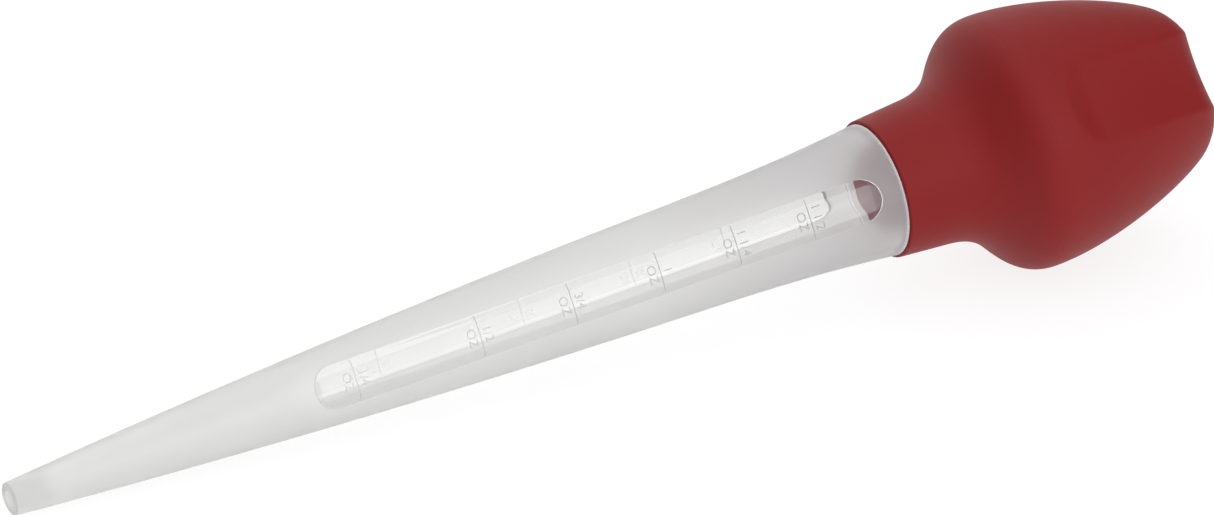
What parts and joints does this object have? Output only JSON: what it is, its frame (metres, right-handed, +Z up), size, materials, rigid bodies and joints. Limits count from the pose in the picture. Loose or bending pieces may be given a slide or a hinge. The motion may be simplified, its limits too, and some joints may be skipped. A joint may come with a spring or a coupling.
{
  "type": "turkey baster",
  "caption": "Tapered frosted tube with clear graduated windows and a pull-off silicone squeeze bulb, for drawing up and releasing cooking liquid.",
  "frame": {"origin": "on the surface that the baster lies on, under the middle of its box", "axes": "+X from the tip towards the bulb, with the tube's axis rising at 5.8 degrees from it, because the baster rests on its tip and on the bulb's widest ring; +Y across; +Z up"},
  "size_m": [0.3082, 0.061, 0.0609],
  "materials": {
    "frosted_plastic": "translucent natural polypropylene, moulded with a fine frosted texture",
    "clear_plastic": "clear polypropylene from a polished part of the mould",
    "silicone": "soft matt silicone rubber, dark red all through"
  },
  "bodies": {
    "tube": {"barrel": "frosted_plastic", "window_front": "clear_plastic", "window_rear": "clear_plastic"},
    "bulb": {"squeeze_bulb": "silicone"}
  },
  "joints": [
    {"name": "bulb_pull_off", "type": "slide", "parent": "tube", "child": "bulb", "axis": [0.9948, 0, 0.1014], "range_m": [0, 0.03]}
  ]
}
